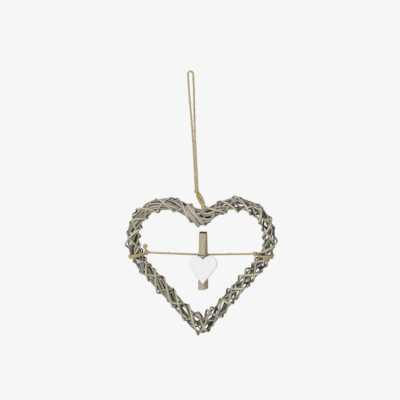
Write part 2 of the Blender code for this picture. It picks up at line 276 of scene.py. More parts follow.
def add_camera():
    width = FRAME_PIXELS * METRES_PER_PIXEL
    x, z = pixel(FRAME_PIXELS / 2, FRAME_PIXELS / 2)
    data = bpy.data.cameras.new("camera")
    data.lens = LENS_MM
    data.sensor_width = SENSOR_MM
    data.clip_end = CLIP_END
    camera = bpy.data.objects.new("camera", data)
    camera.location = (x, -width * LENS_MM / SENSOR_MM, z)
    camera.rotation_euler = (math.pi / 2, 0.0, 0.0)
    bpy.context.scene.collection.objects.link(camera)
    bpy.context.scene.camera = camera


def add_lights():
    """Square lights placed from the middle of the picture."""
    x, z = pixel(FRAME_PIXELS / 2, FRAME_PIXELS / 2)
    aim = Vector((x, 0.0, z - AIM_DROP))
    for name, shift, size, power in LIGHTS:
        data = bpy.data.lights.new(name, "AREA")
        data.shape = "SQUARE"
        data.size = size
        data.energy = power
        light = bpy.data.objects.new(name, data)
        light.location = Vector((x, 0.0, z)) + Vector(shift)
        light.rotation_euler = (aim - light.location).to_track_quat("-Z", "Y").to_euler()
        bpy.context.scene.collection.objects.link(light)


def add_surround():
    """A pale surround that looks brighter than the light it gives."""
    world = bpy.data.worlds.new("studio")
    bpy.context.scene.world = world
    world.use_nodes = True
    tree = world.node_tree
    tree.nodes.clear()
    seen = add_node(tree, "ShaderNodeBackground", {"Color": (*SURROUND_SEEN, 1.0)})
    lit = add_node(tree, "ShaderNodeBackground", {"Color": (1.0, 1.0, 1.0, 1.0), "Strength": SURROUND_LIGHT})
    path = tree.nodes.new("ShaderNodeLightPath")
    mix = tree.nodes.new("ShaderNodeMixShader")
    output = tree.nodes.new("ShaderNodeOutputWorld")
    tree.links.new(path.outputs["Is Camera Ray"], mix.inputs[0])
    tree.links.new(lit.outputs[0], mix.inputs[1])
    tree.links.new(seen.outputs[0], mix.inputs[2])
    tree.links.new(mix.outputs[0], output.inputs["Surface"])


def add_floor():
    """A pale floor well below the hanging wreath."""
    shape = bmesh.new()
    bmesh.ops.create_grid(shape, x_segments=1, y_segments=1, size=FLOOR_HALF_SIZE)
    mesh = bpy.data.meshes.new("floor")
    shape.to_mesh(mesh)
    shape.free()
    floor = bpy.data.objects.new("floor", mesh)
    floor.location = (0.0, 0.0, FLOOR_Z)
    bpy.context.scene.collection.objects.link(floor)
    pale, tree, shader, place = start_material("floor_pale", FLOOR_ROUGHNESS)
    shader.inputs["Emission Color"].default_value = (1.0, 1.0, 1.0, 1.0)
    shader.inputs["Emission Strength"].default_value = FLOOR_GLOW
    grain = add_noise(tree, place.outputs["Generated"], FLOOR_GRAIN)
    tree.links.new(add_ramp(tree, grain, FLOOR_TONES, (0.0, 1.0)), shader.inputs["Base Color"])
    mesh.materials.append(pale)


# Materials

# Fibrous surfaces: streaks, slow patches of another tone, and painted shade where the ridge value is low
STREAK_DETAIL = 5.0
STREAK_ROUGHNESS = 0.65
STREAK_RANGE = (0.30, 0.72)
PATCH_SCALE = 70.0
PATCH_RANGE = (0.42, 0.62)
UNSHADED_RIDGE = 0.85
FIBRE_RELIEF_DEPTH = 0.0003
# Tones of each fibrous finish from dark to light, then the tone of its patches
FIBRE_TONES = {
    # The core rods' tones are their own dark ones deepened by painted shade, which shows in the gaps between
    # the sticks
    "rod_dark_and_painted_shade": ((0.07, 0.058, 0.043), (0.20, 0.178, 0.14), (0.38, 0.35, 0.29), (0.22, 0.195, 0.155)),
    "stick_grey": ((0.16, 0.14, 0.115), (0.46, 0.42, 0.355), (0.80, 0.76, 0.67), (0.26, 0.23, 0.19)),
    "stick_rosy": ((0.17, 0.135, 0.115), (0.50, 0.43, 0.375), (0.84, 0.77, 0.69), (0.31, 0.26, 0.215)),
    "stick_dark": ((0.11, 0.092, 0.075), (0.33, 0.29, 0.24), (0.62, 0.56, 0.48), (0.17, 0.146, 0.12)),
    "strip_under": ((0.19, 0.165, 0.10), (0.46, 0.415, 0.285), (0.74, 0.69, 0.52), (0.31, 0.28, 0.205)),
    "strip_outer": ((0.30, 0.26, 0.15), (0.60, 0.54, 0.345), (0.86, 0.81, 0.59), (0.42, 0.38, 0.27)),
    "jute": ((0.24, 0.18, 0.075), (0.50, 0.405, 0.20), (0.78, 0.67, 0.40), (0.58, 0.485, 0.25)),
}
# Share of the patches, streaks along and across, roughness, relief and share of the painted shade
ROD_LOOK = (0.5, (60.0, 1500.0), 0.8, 0.5, 0.0)
STICK_LOOK = (0.6, (50.0, 1400.0), 0.85, 0.6, 0.75)
UNDER_LOOK = (0.7, (45.0, 1400.0), 0.65, 0.4, 0.75)
OUTER_LOOK = (0.7, (45.0, 1400.0), 0.6, 0.4, 0.75)
JUTE_LOOK = (0.5, (400.0, 2500.0), 0.9, 0.5, 0.7)
# Grain of the peg, the spring and the white heart
GRAIN_DETAIL = 4.0
GRAIN_ROUGHNESS = 0.6
GRAIN_RANGE = (0.33, 0.68)
GRAIN_RELIEF_DEPTH = 0.0002
# Tones of each from dark to light, streaks on the three axes, roughness and relief
GRAIN_LOOKS = {
    "peg_beech": (((0.34, 0.275, 0.18), (0.55, 0.465, 0.335)), (900.0, 900.0, 40.0), 0.65, 0.25),
    "heart_paint": (((0.80, 0.805, 0.80), (0.86, 0.862, 0.858)), (160.0, 160.0, 160.0), 0.5, 0.06),
    "spring_wire": (((0.33, 0.33, 0.34), (0.55, 0.55, 0.56)), (500.0, 500.0, 500.0), 0.35, 0.1),
}


def start_material(name, roughness, metallic=0.0):
    """New material; gives it with its node tree, its shader and its texture coordinates."""
    made = bpy.data.materials.new(name)
    made.use_nodes = True
    tree = made.node_tree
    shader = tree.nodes["Principled BSDF"]
    shader.inputs["Roughness"].default_value = roughness
    shader.inputs["Metallic"].default_value = metallic
    return made, tree, shader, tree.nodes.new("ShaderNodeTexCoord")


def add_node(tree, kind, inputs, **settings):
    """Adds a node; each input gets a plain value, or a link where the value is another node's output."""
    node = tree.nodes.new(kind)
    for name, value in settings.items():
        setattr(node, name, value)
    for name, value in inputs.items():
        if isinstance(value, bpy.types.NodeSocket):
            tree.links.new(value, node.inputs[name])
        else:
            node.inputs[name].default_value = value
    return node


def add_noise(tree, vector, scale, detail=2.0, roughness=0.5):
    inputs = {"Vector": vector, "Scale": scale, "Detail": detail, "Roughness": roughness}
    return add_node(tree, "ShaderNodeTexNoise", inputs).outputs["Fac"]


def add_ramp(tree, value, tones, span):
    """Colour that goes evenly through the tones as the value goes through the span."""
    ramp = add_node(tree, "ShaderNodeValToRGB", {"Fac": value})
    stops = ramp.color_ramp.elements
    first, last = span
    stops[0].position, stops[0].color = first, (*tones[0], 1.0)
    stops[1].position, stops[1].color = last, (*tones[-1], 1.0)
    for k, tone in enumerate(tones[1:-1]):
        stop = stops.new(first + (last - first) * (k + 1) / (len(tones) - 1))
        stop.color = (*tone, 1.0)
    return ramp.outputs["Color"]


def add_mix(tree, factor, colour, other, blend="MIX"):
    inputs = {"Factor": factor, "A": colour, "B": other}
    return add_node(tree, "ShaderNodeMix", inputs, data_type="RGBA", blend_type=blend).outputs["Result"]


def finish_material(tree, shader, colour, height, relief, depth):
    """Gives the shader its colour and its relief."""
    bump = add_node(tree, "ShaderNodeBump", {"Height": height, "Strength": relief, "Distance": depth})
    tree.links.new(colour, shader.inputs["Base Color"])
    tree.links.new(bump.outputs["Normal"], shader.inputs["Normal"])


def fibre_material(name, look):
    """Fibrous surface: streaks that run along the piece's U, between dark and light tones,
    with slow patches of another tone along the length, and painted shade along its edges and in its grooves."""
    *tones, patch = FIBRE_TONES[name]
    patch_share, streaks, roughness, relief, shade_share = look
    made, tree, shader, place = start_material(name, roughness)
    stretch = add_node(tree, "ShaderNodeMapping", {"Vector": place.outputs["UV"], "Scale": (*streaks, 1.0)})
    fibres = add_noise(tree, stretch.outputs["Vector"], 1.0, STREAK_DETAIL, STREAK_ROUGHNESS)
    spots = add_noise(tree, place.outputs["Object"], PATCH_SCALE)
    share = add_node(tree, "ShaderNodeMapRange", {"Value": spots, "From Min": PATCH_RANGE[0],
                                                  "From Max": PATCH_RANGE[1], "To Max": patch_share})
    # Painted shade: the colour is darkened where the ridge value is low, along the edges and in the grooves
    ridge = add_node(tree, "ShaderNodeAttribute", {}, attribute_name="ridge")
    shade_factor = add_node(tree, "ShaderNodeMapRange", {"Value": ridge.outputs["Fac"], "From Max": UNSHADED_RIDGE,
                                                  "To Min": 1 - shade_share})
    colour = add_ramp(tree, fibres, tones, STREAK_RANGE)
    colour = add_mix(tree, share.outputs["Result"], colour, (*patch, 1.0))
    colour = add_mix(tree, 1.0, colour, shade_factor.outputs["Result"], "MULTIPLY")
    finish_material(tree, shader, colour, fibres, relief, FIBRE_RELIEF_DEPTH)
    return made


def grain_material(name, metallic=0.0, shade_above=None):
    """Grain placed by object space, for pieces whose grain is straight; painted shade above a height if
    given.
    """
    tones, streaks, roughness, relief = GRAIN_LOOKS[name]
    made, tree, shader, place = start_material(name, roughness, metallic)
    stretch = add_node(tree, "ShaderNodeMapping", {"Vector": place.outputs["Object"], "Scale": streaks})
    grain = add_noise(tree, stretch.outputs["Vector"], 1.0, GRAIN_DETAIL, GRAIN_ROUGHNESS)
    colour = add_ramp(tree, grain, tones, GRAIN_RANGE)
    # Painted shade: dark colour above the given height
    if shade_above:
        parts = add_node(tree, "ShaderNodeSeparateXYZ", {"Vector": place.outputs["Object"]})
        share = add_node(tree, "ShaderNodeMapRange", {"Value": parts.outputs["Z"], "From Min": shade_above,
                                                      "From Max": shade_above + JAW_END_SHADE_FADE})
        colour = add_mix(tree, share.outputs["Result"], colour, (*JAW_END_SHADE, 1.0))
    finish_material(tree, shader, colour, grain, relief, GRAIN_RELIEF_DEPTH)
    return made


# The wreath's own coordinates

def direction(angle):
    return Vector((math.cos(angle), math.sin(angle)))


def tangent_angle(centre, radius, point, turn):
    away = point - centre
    return math.atan2(away.y, away.x) + turn * math.acos(radius / away.length)


CLEFT = Vector((0.0, LOBE_Z + CLEFT_RISE))
TIP = Vector((0.0, LOBE_Z - TIP_DROP))
LOBE = Vector((LOBE_HALF_SPACING, LOBE_Z))
FLANK = Vector((LOBE_HALF_SPACING + LOBE_RADIUS - FLANK_RADIUS, LOBE_Z))
LOBE_START = tangent_angle(LOBE, LOBE_RADIUS, CLEFT, -1)
FLANK_END = tangent_angle(FLANK, FLANK_RADIUS, TIP, 1)


def middle_crossing(centre, radius, angle):
    return Vector((0.0, centre.y + (radius + centre.x * math.cos(angle)) / math.sin(angle)))


RUN_LENGTHS = (
    (LOBE + LOBE_RADIUS * direction(LOBE_START) - CLEFT).length,
    LOBE_RADIUS * LOBE_START,
    -FLANK_RADIUS * FLANK_END,
    (FLANK + FLANK_RADIUS * direction(FLANK_END) - TIP).length,
)
HALF_LENGTH = sum(RUN_LENGTHS)


def outline_point(s, offset):
    """Point of the heart at s along the centre line from the cleft, moved outwards by offset."""
    s = (s + HALF_LENGTH) % (2 * HALF_LENGTH) - HALF_LENGTH
    side = -1.0 if s < 0 else 1.0
    s = abs(s)
    lobe_radius, flank_radius = LOBE_RADIUS + offset, FLANK_RADIUS + offset
    line, lobe, flank, last = RUN_LENGTHS
    if s <= line:
        start = middle_crossing(LOBE, lobe_radius, LOBE_START)
        point = start.lerp(LOBE + lobe_radius * direction(LOBE_START), s / line)
    elif s <= line + lobe:
        point = LOBE + lobe_radius * direction(LOBE_START * (1 - (s - line) / lobe))
    elif s <= line + lobe + flank:
        point = FLANK + flank_radius * direction(FLANK_END * (s - line - lobe) / flank)
    else:
        end = middle_crossing(FLANK, flank_radius, FLANK_END)
        start = FLANK + flank_radius * direction(FLANK_END)
        point = start.lerp(end, (s - line - lobe - flank) / last)
    return Vector((side * point.x, point.y))


def at(s, offset, depth):
    """World point at s along the wreath, offset outwards in its plane and depth along Y.

    A mean over five places softens the heart's two corners.
    """
    shifts = [CORNER_SOFTENING * k / 2 for k in range(-2, 3)]
    flat = sum((outline_point(s + shift, offset) for shift in shifts), Vector((0.0, 0.0))) / len(shifts)
    return Vector((HEART_X + flat.x, depth, flat.y))


# The direction outwards at a point is that towards a second point, this much farther from the centre line;
# a point nearer to the line than the second length counts as that far from it
NUDGE = 0.0005
NEAREST = 0.001


def outwards(s, offset, depth):
    """Unit direction away from the wreath's centre line at a point."""
    step = NUDGE / max(NEAREST, math.hypot(offset, depth))
    return (at(s, offset * (1 + step), depth * (1 + step)) - at(s, offset, depth)).normalized()


class Waver:
    """Smooth random value along a length, the same on every run for the same seed."""

    WAVES = 3
    SIZE_SHARE = (0.5, 1.0)
    RATE_SHARE = (0.8, 1.2)

    def __init__(self, seed, size, wavelength):
        dice = random.Random(seed)
        self.waves = [(size * dice.uniform(*self.SIZE_SHARE) / k,
                       2 * math.pi * k / wavelength * dice.uniform(*self.RATE_SHARE),
                       dice.uniform(0, 2 * math.pi)) for k in range(1, self.WAVES + 1)]

    def __call__(self, x):
        return sum(size * math.sin(rate * x + start) for size, rate, start in self.waves)


# Mesh makers

def finish_mesh(name, points, faces, coords, ridges, finish):
    """Object from points and faces, with a (u, v) pair for each face corner and each point's ridge value."""
    mesh = bpy.data.meshes.new(name)
    mesh.from_pydata([tuple(point) for point in points], [], faces)
    layer = mesh.uv_layers.new(name="UVMap")
    flat = [value for face in coords for pair in face for value in pair]
    layer.data.foreach_set("uv", flat)
    mesh.attributes.new("ridge", "FLOAT", "POINT").data.foreach_set("value", ridges)
    for face in mesh.polygons:
        face.use_smooth = True
    mesh.materials.append(finish)
    made = bpy.data.objects.new(name, mesh)
    bpy.context.scene.collection.objects.link(made)
    return made


class Skin:
    """Gathers lofted tubes of any section into one mesh; ridges tell how far out each point lies, 0 to 1."""

    def __init__(self):
        self.points, self.faces, self.coords, self.ridges = [], [], [], []

    def loft(self, sections, lengths, around_length, start_v, ridges):
        count = len(sections[0])
        base = len(self.points)
        for section, heights in zip(sections, ridges):
            self.points.extend(section)
            self.ridges.extend(heights)
        for i in range(len(sections) - 1):
            for j in range(count):
                k = (j + 1) % count
                near, far = base + i * count, base + (i + 1) * count
                self.faces.append((near + j, far + j, far + k, near + k))
                v0, v1 = start_v + around_length * j / count, start_v + around_length * (j + 1) / count
                self.coords.append(((lengths[i], v0), (lengths[i + 1], v0),
                                    (lengths[i + 1], v1), (lengths[i], v1)))
        last = base + (len(sections) - 1) * count
        self.faces.append(tuple(range(base, base + count)))
        self.faces.append(tuple(range(last + count - 1, last - 1, -1)))
        for x in (lengths[0], lengths[-1]):
            self.coords.append(tuple((x, start_v + around_length * j / count) for j in range(count)))

    def make(self, name, finish):
        return finish_mesh(name, self.points, self.faces, self.coords, self.ridges, finish)


def tangents(points):
    found = []
    for i in range(len(points)):
        ahead, behind = points[min(i + 1, len(points) - 1)], points[max(i - 1, 0)]
        found.append((ahead - behind).normalized())
    return found


def run_lengths(points):
    total, found = 0.0, [0.0]
    for near, far in zip(points, points[1:]):
        total += (far - near).length
        found.append(total)
    return found


# How far a piece's texture is shifted by chance, so that pieces differ
TEXTURE_SHIFT = 5.0
TWINE_TEXTURE_SHIFT = 3.0
# Texture length round a tube, and how thick a tapered end is
TUBE_AROUND = 2 * math.pi * 0.001
END_SIZE_SHARE = 0.35


def ribbon(skin, stations, thickness, profile, seed):
    """Lofts a flat section along (point, outward direction, width) stations; its width lies on the wreath."""
    points = [point for point, _, _ in stations]
    lengths = run_lengths(points)
    wide, roll = Waver(seed, *WIDTH_WANDER), Waver(seed + 1, *ROLL_WANDER)
    shift = random.Random(seed).uniform(0, TEXTURE_SHIFT)
    sections = []
    for (point, up, width), ahead, length in zip(stations, tangents(points), lengths):
        up = (up - ahead * up.dot(ahead)).normalized()
        side = ahead.cross(up)
        tilt = roll(length)
        up, side = up * math.cos(tilt) + side * math.sin(tilt), side * math.cos(tilt) - up * math.sin(tilt)
        half = width / 2 * (1 + wide(length))
        sections.append([point + side * (u * half) + up * (v * thickness) for u, v in profile])
    top = max(v for _, v in profile)
    ridges = [[max(0.0, v / top) for _, v in profile]] * len(sections)
    skin.loft(sections, [length + shift for length in lengths], 2 * stations[0][2], shift, ridges)


# A curve that starts steeper than this gets its first direction across from X instead of Z
STEEP = 0.9


def frames(points):
    """Directions across a curve, carried along it without twist."""
    ahead = tangents(points)
    start = Vector((0.0, 0.0, 1.0)) if abs(ahead[0].z) < STEEP else Vector((1.0, 0.0, 0.0))
    side = (start - ahead[0] * start.dot(ahead[0])).normalized()
    found = []
    for direct in ahead:
        side = (side - direct * side.dot(direct)).normalized()
        found.append((side, direct.cross(side)))
    return found


def tube(skin, points, radius, sides, v_shift=0.0, taper_steps=0, centres=None, reach=1.0):
    """Round tube; where it turns round a line of centres, its ridge value falls towards that line.

    The radius is a length or a function of the length run; taper_steps is how soon the ends get their size.
    """
    lengths = run_lengths(points)
    sections = []
    for i, (point, (a, b)) in enumerate(zip(points, frames(points))):
        size = radius(lengths[i]) if callable(radius) else radius
        if taper_steps:
            from_end = min(i, len(points) - 1 - i)
            size *= min(1.0, END_SIZE_SHARE + from_end / taper_steps)
        angles = [2 * math.pi * j / sides for j in range(sides)]
        sections.append([point + (a * math.cos(angle) + b * math.sin(angle)) * size for angle in angles])
    ridges = [[min(1.0, (corner - centre).length / reach) for corner in section]
              for section, centre in zip(sections, centres)] if centres else [[1.0] * sides] * len(sections)
    skin.loft(sections, [length + v_shift for length in lengths], TUBE_AROUND, v_shift, ridges)


def resampled(points, step):
    """The same route with points a step apart, on a smooth curve through the given ones."""
    smooth = []
    for i in range(len(points) - 1):
        p0, p1 = points[max(i - 1, 0)], points[i]
        p2, p3 = points[i + 1], points[min(i + 2, len(points) - 1)]
        count = max(1, math.ceil((p2 - p1).length / step))
        for k in range(count):
            t = k / count
            smooth.append(0.5 * ((2 * p1) + (p2 - p0) * t + (2 * p0 - 5 * p1 + 4 * p2 - p3) * t * t
                                 + (3 * p1 - p0 - 3 * p2 + p3) * t ** 3))
    smooth.append(points[-1])
    return smooth


def rope(skin, points, seed, radius=TWINE_RADIUS):
    """Laid twine: plies that turn round the route, with loose fibres; gives its centre line."""
    route = resampled(points, TWINE_STEP)
    lengths = run_lengths(route)
    across = frames(route)
    uneven = Waver(seed, *PLY_WANDER)
    dice = random.Random(seed)
    for ply in range(PLIES):
        start = 2 * math.pi * ply / PLIES
        strand = []
        for point, (a, b), length in zip(route, across, lengths):
            angle = start + 2 * math.pi * length / LAY_LENGTH
            strand.append(point + (a * math.cos(angle) + b * math.sin(angle)) * radius * PLY_RING_SHARE)
        tube(skin, strand, lambda x: radius * PLY_RADIUS_SHARE * (1 + uneven(x)), PLY_SIDES,
             dice.uniform(0, TWINE_TEXTURE_SHIFT), PLY_TAPER_STEPS, route, radius * PLY_REACH_SHARE)
    for _ in range(int(lengths[-1] * HAIRS_PER_METRE)):
        i = dice.randrange(HAIR_STEPS_FROM_ENDS, len(route) - HAIR_STEPS_FROM_ENDS)
        a, b = across[i]
        angle = dice.uniform(0, 2 * math.pi)
        out = a * math.cos(angle) + b * math.sin(angle)
        ahead = (route[i + 1] - route[i - 1]).normalized() * dice.choice((-1, 1))
        reach = dice.uniform(*HAIR_LENGTH)
        root = route[i] + out * radius * HAIR_ROOT_SHARE
        hair = [root + (out * HAIR_RISE * t + ahead * (HAIR_RUN * t + HAIR_SWEEP * t * t)) * reach
                for t in HAIR_STEPS]
        tube(skin, hair, HAIR_RADIUS, HAIR_SIDES, dice.uniform(0, TWINE_TEXTURE_SHIFT))
    return route


# Winding paths

def swell(s, side):
    """How much thicker the wreath is at a place; side is 1 at its outer edge, -1 at its inner edge."""
    size = CLEFT_SWELL + max(0.0, side) * CLEFT_SWELL_OUTWARDS
    size *= math.exp(-((s - CLEFT_SWELL_S) / SWELL_WIDTH) ** 2)
    from_tip = (s + 2 * HALF_LENGTH) % (2 * HALF_LENGTH) - HALF_LENGTH
    return size + max(0.0, -side) * TIP_SWELL * math.exp(-(from_tip / SWELL_WIDTH) ** 2)


def front_crossings(share, turns, seed):
    """Where one strip starts and ends each crossing of the front: even turns, made uneven as by hand.

    share is the strip's start within one turn.
    """
    pitch = 2 * HALF_LENGTH / turns
    dice = random.Random(seed)
    crossings = []
    for turn in range(turns):
        start = WINDING_START + (share + turn) * pitch
        crossings.append((start + TURN_WANDER * dice.uniform(-1, 1),
                          start + pitch / 2 + TURN_WANDER * dice.uniform(-1, 1)))
    return crossings


def edge_turns(crossings, first_side, seed):
    """Turning points (s, offset) of one strip from its front crossings, one after the other."""
    dice = random.Random(seed)
    turns = []
    for start, end in crossings:
        for s, side in ((start, first_side), (end, -first_side)):
            turns.append((s, side * (EDGE_REACH + swell(s, side)) * dice.uniform(*KINK_SHARE)))
    return turns


def wound(turns, lift, seed):
    """Stations along a strip that goes over the front on every odd leg and behind on every even one.

    The strip starts and ends halfway round the back.
    """
    loose = Waver(seed, *STRIP_STRAY)
    head, tail = turns[0], turns[-1]
    reach = abs(turns[1][0] - head[0])
    route = [(head[0] - reach, -head[1]), *turns, (tail[0] + reach, -tail[1])]
    stations = []
    travelled = 0.0
    for k, (near, far) in enumerate(zip(route, route[1:])):
        front = k % 2 == 1
        length = math.hypot(far[0] - near[0], math.pi / 2 * abs(far[1] - near[1]))
        count = 2 * math.ceil(length / STEP / 2)
        first = count // 2 if k == 0 else 0
        last = count // 2 if k == len(route) - 2 else count
        for i in range(first, last):
            t = i / count
            ease = (1 - LEG_BOW) * t + LEG_BOW * (0.5 - 0.5 * math.cos(math.pi * t))
            s = near[0] + (far[0] - near[0]) * t
            travelled += length / count
            stray = loose(travelled)
            offset = (near[1] + (far[1] - near[1]) * ease) * (1 + (lift + stray) / EDGE_REACH)
            away = (STRIP_DEPTH + lift + stray + swell(s, 0.0)) * math.sin(math.pi * t) ** LEG_FLATNESS
            y = -away if front else away
            stations.append((at(s, offset, y), outwards(s, offset, y), STRIP_WIDTH))
    return stations


# Sections of a strip and of a stick, in half widths across and thicknesses outwards
FLAT_PROFILE = ((-1.0, 0.0), (-0.93, 0.45), (-0.6, 0.72), (0.0, 0.8), (0.6, 0.72), (0.93, 0.45), (1.0, 0.0),
                (0.6, -0.3), (-0.6, -0.3))
STICK_SIDES = 8
STICK_ANGLES = [2 * math.pi * k / STICK_SIDES for k in range(STICK_SIDES, 0, -1)]
ROUND_PROFILE = tuple((math.cos(angle), 0.5 + 0.5 * math.sin(angle)) for angle in STICK_ANGLES)
# Starting numbers of the chance in each kind of piece, and how far those of like pieces lie apart
SEED_STEP = 10
STICK_SEED_STEP = 20
ASIDE_SEED = 90
CORE_SEED = 100
STICK_SEED = 400
CLEFT_STICK_SEED = 660
UNDER_SEED = 700
OUTER_SEED = 800


def dress(piece, nodes, body="wreath"):
    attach(piece, body)
    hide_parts(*nodes)
    return piece


def fullness(s):
    """1 where the ring is full of sticks, 0 where it is loose."""
    return max(share / (1 + math.exp(-min(s - start, end - s) / FULL_FADE))
               for start, end, share in FULL_STRETCHES)


def core_rods(finish):
    """Two thin round rods stand where each core rod of the part is."""
    aside = Waver(ASIDE_SEED, *CORE_SHIFT_WANDER)
    for number in range(1, CORE_RODS + 1):
        skin = Skin()
        for twin, ring in enumerate(CORE_RINGS):
            seed = CORE_SEED + SEED_STEP * number + twin
            start = 2 * math.pi * (number + 0.5 * twin) / CORE_RODS
            turn, sway = Waver(seed, *CORE_TURN_WANDER), Waver(seed + 1, *CORE_SWAY)
            thick = Waver(seed + 2, *CORE_RADIUS_WANDER)
            count = round(HALF_LENGTH / STEP)
            points = []
            for k in range(count + 1):
                s = HALF_LENGTH * (2 * k / count - 1)
                angle = start + turn(s)
                radius = (ring + sway(s)) * (LOOSE_CORE_SHARE + (1 - LOOSE_CORE_SHARE) * fullness(s))
                shift = aside(s) * (1 - fullness(s))
                points.append(at(s, shift + radius * math.cos(angle), radius * math.sin(angle)))
            tube(skin, points, lambda x: CORE_ROD_RADIUS * (1 + thick(x)), CORE_ROD_SIDES, number)
        dress(skin.make(f"thin_rods_{number}", finish), [f"core_rod_{number}"])


def outer_sticks(finishes):
    """Flattened sticks in a slowly twisted ring; the long ones pass each other at the tip."""
    for number in range(1, OUTER_RODS + 1):
        seed = STICK_SEED + STICK_SEED_STEP * number
        dice = random.Random(seed)
        start = 2 * math.pi * number / OUTER_RODS
        first, last = -HALF_LENGTH - dice.uniform(0, STICK_END_OVERLAP), HALF_LENGTH
        if number % SHORT_EVERY == SHORT_FIRST:
            first, last = -SHORT_REACH_LEFT, SHORT_REACH_RIGHT
        turn, rise = Waver(seed + 1, *STICK_TURN_WANDER), Waver(seed + 2, *STICK_RISE_WANDER)
        count = round((last - first) / STEP)
        width = STICK_WIDTH * dice.uniform(*STICK_WIDTH_SHARE)
        stations = []
        for k in range(count + 1):
            s = first + (last - first) * k / count
            angle = start - math.pi * OUTER_TWISTS * s / HALF_LENGTH + turn(s)
            angle -= LOOSE_WARP * (1 - fullness(s)) * math.sin(2 * angle)
            radius = OUTER_RING - STICK_THICKNESS / 2 + STICK_LIFT + rise(s)
            radius += STICK_SWELL_SHARE * swell(s, math.cos(angle))
            offset, depth = radius * math.cos(angle), radius * math.sin(angle)
            share = LOOSE_STICK_SHARE + (1 - LOOSE_STICK_SHARE) * fullness(s)
            stations.append((at(s, offset, depth), outwards(s, offset, depth), width * share))
        skin = Skin()
        ribbon(skin, stations, STICK_THICKNESS, ROUND_PROFILE, seed + 3)
        if number == CLEFT_STICKS_WITH:
            cleft_sticks(skin)
        finish = finishes[number % len(finishes)]
        dress(skin.make(f"stick_{number}", finish), [f"outer_rod_{number}"])


def cleft_sticks(skin):
    """The broad sticks that lie across the cleft in front."""
    for number, (start, end) in enumerate(CLEFT_STICKS):
        near, far = (Vector((x, 0.0, z)) for x, z in (pixel(*start), pixel(*end)))
        stations = []
        for k in range(CLEFT_STICK_STEPS + 1):
            t = k / CLEFT_STICK_STEPS
            depth = CLEFT_STICK_DEPTH + CLEFT_STICK_BOW * math.sin(math.pi * t)
            stations.append((near.lerp(far, t) - Vector((0.0, depth, 0.0)), Vector((0.0, -1.0, 0.0)),
                             CLEFT_STICK_WIDTH))
        ribbon(skin, stations, CLEFT_STICK_THICKNESS, ROUND_PROFILE, CLEFT_STICK_SEED + number)


def split_strip(name, node, share, turns, first_side, lift, seed, finish):
    """One strip wound round the whole wreath in the place of its CAD node."""
    edges = edge_turns(front_crossings(share, turns, seed), first_side, seed + 1)
    skin = Skin()
    ribbon(skin, wound(edges, lift, seed + 2), STRIP_THICKNESS, FLAT_PROFILE, seed + 3)
    dress(skin.make(name, finish), [node])


def make_wreath():
    core_rods(fibre_material("rod_dark_and_painted_shade", ROD_LOOK))
    grey, rosy, dark = (fibre_material(f"stick_{tone}", STICK_LOOK) for tone in ("grey", "rosy", "dark"))
    outer_sticks((grey, dark, rosy, grey))
    under = fibre_material("strip_under", UNDER_LOOK)
    outer = fibre_material("strip_outer", OUTER_LOOK)
    for number in range(COUNTER_STRIPS):
        split_strip(f"under_strip_{number + 1}", f"counter_strip_{number + 1}",
                    number / COUNTER_STRIPS + COUNTER_START_SHARE, COUNTER_TURNS, -1, UNDER_LIFT,
                    UNDER_SEED + SEED_STEP * number, under)
    for number in range(MAIN_STRIPS):
        split_strip(f"outer_strip_{number + 1}", f"pale_strip_{number + 1}", number / MAIN_STRIPS,
                    MAIN_TURNS, 1, OUTER_LIFT, OUTER_SEED + SEED_STEP * number, outer)


# Twine and knots

HANG_KNOT_Z = CLEFT.y + HANG_KNOT_RISE
# Height at which the loop's strands go over into its round top
LOOP_CREST_Z = -TWINE_RADIUS - LOOP_HALF_WIDTH


def loop_x(z, side):
    """X of one strand of the hanging loop at a height; side is -1 or 1, and 0 halfway between the strands."""
    together = TWINE_RADIUS + GAP / 2
    share = min(1.0, (LOOP_CREST_Z - z) / (LOOP_CREST_Z - LOOP_CLOSES_AT_Z))
    half = together + (LOOP_HALF_WIDTH - together) * 0.5 * (1 + math.cos(math.pi * share))
    return LOOP_LEAN * (LOOP_CREST_Z - z) + side * half


def loop_route():
    """From the hanging knot up the left strand, round the top and down the right one."""
    bottom = HANG_KNOT_Z + TWINE_RADIUS
    heights = [bottom + (LOOP_CREST_Z - bottom) * k / LOOP_STEPS for k in range(LOOP_STEPS)]
    left = [Vector((loop_x(z, -1), 0.0, z)) for z in heights]
    right = [Vector((loop_x(z, 1), 0.0, z)) for z in reversed(heights)]
    top = []
    for k in range(CREST_STEPS + 1):
        angle = math.pi * k / CREST_STEPS
        x, rise = -LOOP_HALF_WIDTH * math.cos(angle), LOOP_HALF_WIDTH * math.sin(angle)
        top.append(Vector((x, 0.0, LOOP_CREST_Z + rise)))
    return left + top + right


def knot_route(centre, size, turn):
    """Overhand knot drawn tight round its centre."""
    points = []
    for k in range(KNOT_STEPS + 1):
        t = 2 * math.pi * k / KNOT_STEPS
        shape = Vector((math.sin(t) + 2 * math.sin(2 * t), math.cos(t) - 2 * math.cos(2 * t),
                        -KNOT_DEPTH_SHARE * math.sin(3 * t)))
        points.append(centre + turn @ (shape * size / 3))
    return points


def eye_route(knot):
    """Narrow eye from the knot down to the wreath, where its twine goes round the core."""
    x, z = pixel(*EYE_END_PIXEL)
    end = Vector((x, 0.0, z))
    along = end - knot
    across = Vector((-along.z, 0.0, along.x)).normalized()
    core = at(CLEFT_TIE_S, 0.0, 0.0)
    up = (end - core).normalized()
    down = []
    for k in range(1, EYE_STEPS):
        t = (k + 0.5) / EYE_STEPS
        half = EYE_HALF_WIDTH + EYE_BULGE * math.sin(math.pi * t)
        down.append((knot + along * t, across * half + Vector((0.0, -EYE_FORWARD, 0.0))))
    ring = []
    for k in range(EYE_TURN_STEPS + 1):
        angle = EYE_TURN_START + EYE_TURN_SWEEP * k / EYE_TURN_STEPS
        ring.append(core + (up * math.cos(angle) + Vector((0.0, -math.sin(angle), 0.0))) * EYE_CORE_RADIUS)
    return [p + shift for p, shift in down] + ring + [p - shift for p, shift in reversed(down)]


